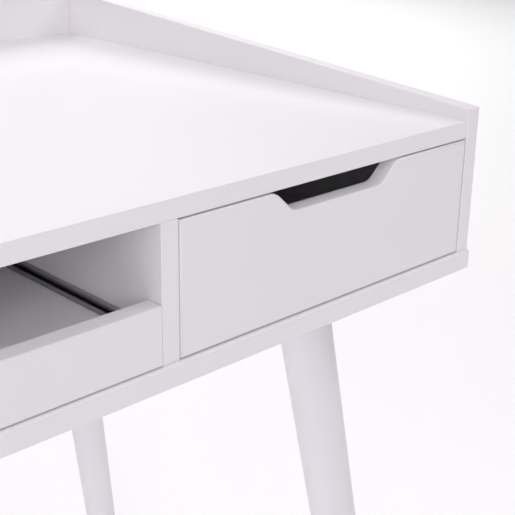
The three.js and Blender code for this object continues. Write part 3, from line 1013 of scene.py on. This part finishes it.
@dataclass(frozen=True)
class Slide:
    """A ball-bearing slide: a member on the case, one on what moves, and the ball cage between.

    Attributes:
        name: The start of its CAD nodes' names.
        steel: The members' sheet thickness.
        bend: The radius of the sheet's middle line at its bends.
        lip_plane: Distance of the outer member's lips from the wall.
        lip_end: Height of the outer member's lip ends from its middle.
        ball_radius: The balls' radius.
        ball_pitch: The distance between balls.
        ball_height: Height of each row of balls from the slide's middle.
        ball_reach: Distance of the balls from the wall.
        head_radius: The mounting screws' head radius.
        flush_head: Height of the heads in the case member, which the cage passes over.
        inner_head: Height of the heads in the moving member.
        screw_shares: The screws' places, as shares of the member's length.
    """

    name: str
    steel: float = 1.0 * MM
    bend: float = 0.9 * MM
    lip_plane: float = 5.2 * MM
    lip_end: float = 11 * MM
    ball_radius: float = 1.5 * MM
    ball_pitch: float = 6 * MM
    ball_height: float = 10 * MM
    ball_reach: float = 2.9 * MM
    head_radius: float = 3.4 * MM
    flush_head: float = 0.4 * MM
    inner_head: float = 1.4 * MM
    screw_shares: Triple = (0.09, 0.5, 0.92)

    @property
    def facing(self) -> int:
        """+1 where the slide looks to +X from the case wall, and -1 where it looks to -X."""
        outer = sum(corner.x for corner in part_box(f"{self.name}_outer"))
        inner = sum(corner.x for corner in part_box(f"{self.name}_inner"))
        return 1 if inner > outer else -1

    @property
    def wall(self) -> float:
        """The case wall's place in X."""
        low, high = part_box(f"{self.name}_outer")
        return low.x if self.facing > 0 else high.x

    @property
    def middle(self) -> float:
        """The height of the slide's middle line."""
        low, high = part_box(f"{self.name}_outer")
        return (low.z + high.z) / 2

    def place(self, away: float, up: float) -> Point:
        """Turns a section's distance from the wall and height from the middle to X and Z."""
        return self.wall + self.facing * away, self.middle + up

    def _member(self, part: str, section: Iterable[Point], ease: float) -> None:
        """Runs a section over the length of one of the slide's nodes."""
        node = f"{self.name}_{part}"
        low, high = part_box(node)
        shape = run_out([self.place(*point) for point in section], Axis.Y, low.y, high.y)
        if ease > 0:
            soften(shape, is_corner, ease, 2)
        dress(finish_mesh(f"{node}_section", shape), node)

    def build(self) -> None:
        """Makes the two members and the cage."""
        low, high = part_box(f"{self.name}_outer")
        flange = (high.z - low.z - self.steel) / 2
        outer = [
            (self.lip_plane, self.lip_end),
            (self.lip_plane, flange),
            (self.steel / 2, flange),
            (self.steel / 2, -flange),
            (self.lip_plane, -flange),
            (self.lip_plane, -self.lip_end),
        ]
        self._member("outer", bent_strip(outer, self.steel, self.bend), 0.15 * MM)
        low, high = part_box(f"{self.name}_inner")
        thickness = abs((high.x if self.facing > 0 else low.x) - self.wall)
        back, web = thickness - self.steel, (high.z - low.z) / 2
        rail_start, rail_out, rail_in = 3 * MM, 7.6 * MM, 6.6 * MM
        inner = [
            (rail_start, rail_out),
            (back, rail_out),
            (back, web),
            (thickness, web),
            (thickness, -web),
            (back, -web),
            (back, -rail_out),
            (rail_start, -rail_out),
            (rail_start, -rail_in),
            (back, -rail_in),
            (back, rail_in),
            (rail_start, rail_in),
        ]
        self._member("inner", inner, 0.2 * MM)
        low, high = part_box(f"{self.name}_cage")
        run, reach, start = (high.z - low.z - self.steel) / 2, 8 * MM, 2 * MM
        cage = [(reach, run), (start, run), (start, -run), (reach, -run)]
        self._member("cage", bent_strip(cage, self.steel, 0.8 * MM), 0.2 * MM)

    def ball_spots(self) -> Spots:
        """The balls' places in the cage's two rows."""
        low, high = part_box(f"{self.name}_cage")
        count = int((high.y - low.y) / self.ball_pitch)
        start = (low.y + high.y - (count - 1) * self.ball_pitch) / 2
        spots = []
        for up in (self.ball_height, -self.ball_height):
            x, z = self.place(self.ball_reach, up)
            for i in range(count):
                spots.append((Vector((x, start + i * self.ball_pitch, z)), Vector((0, 0, 1))))
        return spots

    def case_screw_spots(self) -> Spots:
        """The flush screws through the case member."""
        return self._screw_row("outer", self.steel, self.facing)

    def moving_screw_spots(self) -> Spots:
        """The screws through the moving member, which look back at the wall."""
        low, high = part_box(f"{self.name}_inner")
        web = max(abs(low.x - self.wall), abs(high.x - self.wall)) - self.steel
        return self._screw_row("inner", web, -self.facing)

    def _screw_row(self, part: str, away: float, direction: int) -> Spots:
        """Three screws along a member, at a distance from the wall."""
        low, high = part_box(f"{self.name}_{part}")
        x, z = self.place(away, 0)
        return [
            (Vector((x, low.y + share * (high.y - low.y), z)), Vector((direction, 0, 0)))
            for share in self.screw_shares
        ]


def slide_names() -> list[str]:
    """The start of every slide's node names."""
    return sorted(node.removesuffix("_outer") for node in frame["nodes"] if node.endswith("_outer"))


@dataclass(frozen=True)
class Slides:
    """All the slides, with their screws and balls gathered into one piece for each body."""

    def build(self, heads: PanHeads, balls: BearingBalls) -> None:
        """Makes the slides, then their balls and screw heads."""
        slides = [Slide(name) for name in slide_names()]
        case_spots: Spots = []
        moving: dict[str, Spots] = {}
        rows: dict[str, Spots] = {}
        for slide in slides:
            slide.build()
            case_spots += slide.case_screw_spots()
            moving.setdefault(body_of(f"{slide.name}_inner"), []).extend(slide.moving_screw_spots())
            rows.setdefault(body_of(f"{slide.name}_cage"), []).extend(slide.ball_spots())
        size = {"Head Radius": Slide.head_radius, "Recess Reach": Slide.head_radius * RECESS_REACH}
        flush = {**size, "Head Height": Slide.flush_head}
        proud = {**size, "Head Height": Slide.inner_head}
        add_trim(heads.grow("case_slide_screws", case_spots, BRIGHT_ZINC, flush), "case")
        for body, spots in moving.items():
            add_trim(heads.grow(f"{body}_slide_screws", spots, BRIGHT_ZINC, proud), body)
        for body, spots in rows.items():
            made = balls.grow(f"{body}_balls", spots, GROUND_STEEL, {"Ball Radius": Slide.ball_radius})
            add_trim(made, body)


# ---------------------------------------------------------------- drawers and tray


@dataclass(frozen=True)
class Drawer:
    """A drawer: a front with a finger cut-out on a box of thin boards.

    Attributes:
        side: left or right.
        box_arris: The easing of the box boards' edges.
        floor_arris: The easing of the hardboard's edges.
    """

    side: str
    box_arris: float = 0.7 * MM
    floor_arris: float = 0.2 * MM

    def build(self) -> None:
        """Makes the front, the box and the floor."""
        name = f"drawer_{self.side}"
        WrappedFront(f"{name}_front").build()
        for part in ("box_left", "box_right", "box_back"):
            Board(f"{name}_{part}", self.box_arris).build()
        Board(f"{name}_floor", self.floor_arris).build()


@dataclass(frozen=True)
class Tray:
    """The keyboard tray: a low front on a board.

    Attributes:
        arris: The easing of the board's edges and of the front's sawn ends.
        nose: The rounding along the front's two long edges.
    """

    arris: float = 0.4 * MM
    nose: float = 1.0 * MM

    def build(self) -> None:
        """Makes the front and the board."""
        NosedBoard("tray_front", self.arris, self.nose).build()
        Board("tray_board", self.arris).build()


# ---------------------------------------------------------------- studio


@dataclass(frozen=True)
class Softbox:
    """A square soft light.

    Attributes:
        name: Its name.
        place: Where it stands.
        aim: The point that it looks at.
        width: Its width.
        power: Its power in watts.
        tint: Its colour, sRGB hex.
    """

    name: str
    place: Triple
    aim: Triple
    width: float
    power: float
    tint: str

    def build(self) -> None:
        """Hangs the light."""
        light = bpy.data.lights.new(self.name, "AREA")
        light.shape = "SQUARE"
        light.size = self.width
        light.energy = self.power
        light.color = colour(self.tint)[:3]
        lamp = new_object(self.name, light)
        lamp.location = self.place
        direction = Vector(self.aim) - Vector(self.place)
        lamp.rotation_euler = direction.to_track_quat("-Z", "Y").to_euler()


@dataclass(frozen=True)
class Studio:
    """A white sweep under even light.

    Attributes:
        sky: Strength of the light from all round.
        sky_tint: Its colour, sRGB hex.
        floor_half: Half the floor's width.
        floor_tone: The floor's colour.
        floor_glow: Light that the floor adds of its own, so that it stays paper white.
        floor_roughness: How matt the floor is.
    """

    sky: float = 0.13
    sky_tint: str = "FFFAFF"
    floor_half: float = 40.0
    floor_tone: str = "FAFAFA"
    floor_glow: float = 0.12
    floor_roughness: float = 0.9

    def lights(self) -> list[Softbox]:
        """The lights over, beside and behind the desk, and one that keeps the far floor white."""
        return [
            Softbox("overhead_softbox", (0.2, -0.3, 3.2), (0.2, 0.0, 0.7), 2.6, 12.0, "FFFCFC"),
            Softbox("high_front_softbox", (0.3, -2.6, 3.2), (0.3, -0.2, 0.7), 2.0, 15.0, "FFFAFF"),
            Softbox("edge_softbox", (2.8, -1.6, 3.1), (0.4, -0.2, 0.7), 1.6, 30.0, "FFFBFF"),
            Softbox("left_softbox", (-3.0, -1.0, 1.9), (0.3, 0.0, 0.7), 2.0, 24.0, "FFFCFC"),
            Softbox("front_softbox", (-2.2, -3.0, 1.9), (0.2, -0.1, 0.7), 2.0, 40.0, "FFFAFF"),
            Softbox("rear_softbox", (0.0, 2.0, 3.2), (0.2, 0.0, 0.7), 2.0, 31.0, "FFFCFF"),
            Softbox("sweep_softbox", (3.2, 4.6, 3.2), (3.2, 4.6, 0.0), 5.0, 200.0, "FFFFFF"),
        ]

    def build(self) -> None:
        """Builds the floor, the surroundings and the lights."""
        scene = bpy.context.scene
        scene.view_settings.view_transform = "Standard"
        world = bpy.data.worlds.new("white_surroundings")
        world.use_nodes = True
        world.node_tree.nodes.clear()
        light = {"Color": colour(self.sky_tint), "Strength": self.sky}
        glow = add_node(world.node_tree, "ShaderNodeBackground", inputs=light)
        add_node(world.node_tree, "ShaderNodeOutputWorld", inputs={"Surface": glow.outputs[0]})
        scene.world = world
        self._floor()
        for light in self.lights():
            light.build()

    def _floor(self) -> None:
        """Lays the pale floor."""
        half = self.floor_half
        mesh = bpy.data.meshes.new("studio_floor")
        corners = [(-half, -half, 0), (half, -half, 0), (half, half, 0), (-half, half, 0)]
        mesh.from_pydata(corners, [], [(0, 1, 2, 3)])
        floor = new_object("studio_floor", mesh)
        paper = bpy.data.materials.new("white_paper_sweep")
        paper.use_nodes = True
        shader = next(n for n in paper.node_tree.nodes if n.type == "BSDF_PRINCIPLED")
        shader.inputs["Base Color"].default_value = colour(self.floor_tone)
        shader.inputs["Roughness"].default_value = self.floor_roughness
        shader.inputs["Emission Color"].default_value = (1, 1, 1, 1)
        shader.inputs["Emission Strength"].default_value = self.floor_glow
        mesh.materials.append(paper)


@dataclass(frozen=True)
class Viewpoint:
    """The camera: in front of the desk's middle, looking down and right at its front corner.

    Attributes:
        place: Where it stands.
        heading: Its direction, in degrees from +Y towards +X.
        dip: How far it looks down, in degrees.
        roll: Its turn about its own line of sight, in degrees.
        lens: Focal length in millimetres.
        sensor: The sensor's width in millimetres.
        clip: The nearest and farthest distance that it sees.
    """

    place: Triple = (-0.1671, -0.8180, 0.9665)
    heading: float = 44.23
    dip: float = 21.0
    roll: float = 0.97
    lens: float = 75.0
    sensor: float = 36.0
    clip: tuple[float, float] = (0.01, 200.0)

    def build(self) -> None:
        """Sets the camera up."""
        data = bpy.data.cameras.new("corner_camera")
        data.lens = self.lens
        data.sensor_width = self.sensor
        data.clip_start, data.clip_end = self.clip
        heading, dip, roll = (math.radians(a) for a in (self.heading, self.dip, self.roll))
        forward = Vector(
            (math.sin(heading) * math.cos(dip), math.cos(heading) * math.cos(dip), -math.sin(dip))
        )
        level = forward.cross(Vector((0, 0, 1))).normalized()
        upright = level.cross(forward)
        right = level * math.cos(roll) + upright * math.sin(roll)
        up = right.cross(forward)
        camera = new_object("corner_camera", data)
        turn = Matrix((right, up, -forward)).transposed()
        camera.matrix_world = Matrix.Translation(self.place) @ turn.to_4x4()
        bpy.context.scene.camera = camera


# ---------------------------------------------------------------- the whole


def dress_hidden_fixings() -> None:
    """Gives the CAD nodes that stay as they are their finish."""
    for name, node in frame["nodes"].items():
        if node.hide_render:
            continue
        material = WORKSHOP.for_slot(SLOT_OF[name])
        if not node.data.materials:
            node.data.materials.append(material)
        for slot in node.material_slots:
            slot.material = material
        LOG.info("%s keeps its CAD shape", name)


def main() -> None:
    """Builds the desk and its studio."""
    logging.basicConfig(level=logging.INFO, format="%(name)s: %(message)s")
    Viewpoint().build()
    heads, balls, turning = PanHeads(), BearingBalls(), TaperedTurning()
    Case().build()
    for end in ENDS:
        for side in SIDES:
            Leg(f"{end}_{side}").build(turning)
    PlateScrews().build(heads)
    Tray().build()
    for side in SIDES:
        Drawer(side).build()
    Slides().build(heads, balls)
    dress_hidden_fixings()
    Studio().build()


if __name__ == "__main__":
    main()
